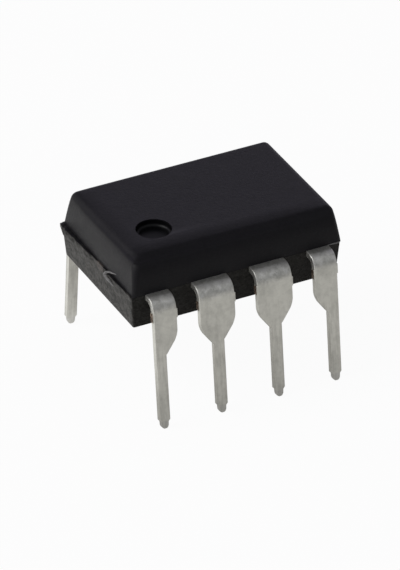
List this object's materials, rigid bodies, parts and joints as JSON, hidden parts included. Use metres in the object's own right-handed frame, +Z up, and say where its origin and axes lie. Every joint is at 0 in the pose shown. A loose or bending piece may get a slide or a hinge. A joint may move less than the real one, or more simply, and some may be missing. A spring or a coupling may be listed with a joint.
{
  "type": "dual in-line integrated circuit package",
  "caption": "Black moulded dual in-line chip package with two rows of formed, tapered tin-plated leads and a round pin-one mark.",
  "frame": {"origin": "on the board side at the height of the lead tips, under the middle of the package", "axes": "+X along the body, away from the end that carries the round mark; +Y across the rows, from the row of leads 1 to 4 to the row of leads 5 to 8; +Z up, out of the moulded top"},
  "size_m": [0.0094, 0.0088, 0.0071],
  "materials": {
    "mould_compound": "fine spark-eroded black epoxy moulding",
    "tinned_lead": "matte tin plate over a copper alloy",
    "frame_copper": "bare copper alloy strip, sheared",
    "bonding_layer": "silver-filled bonding layer",
    "silicon": "polished silicon",
    "gold_wire": "bright gold wire"
  },
  "bodies": {
    "root": {"moulded_body": "mould_compound", "lead_1": "tinned_lead", "lead_2": "tinned_lead", "lead_3": "tinned_lead", "lead_4": "tinned_lead", "lead_5": "tinned_lead", "lead_6": "tinned_lead", "lead_7": "tinned_lead", "lead_8": "tinned_lead", "die_paddle": "frame_copper", "die_attach": "bonding_layer", "die": "silicon", "bond_wire_1": "gold_wire", "bond_wire_2": "gold_wire", "bond_wire_3": "gold_wire", "bond_wire_4": "gold_wire", "bond_wire_5": "gold_wire", "bond_wire_6": "gold_wire", "bond_wire_7": "gold_wire", "bond_wire_8": "gold_wire"}
  },
  "joints": []
}
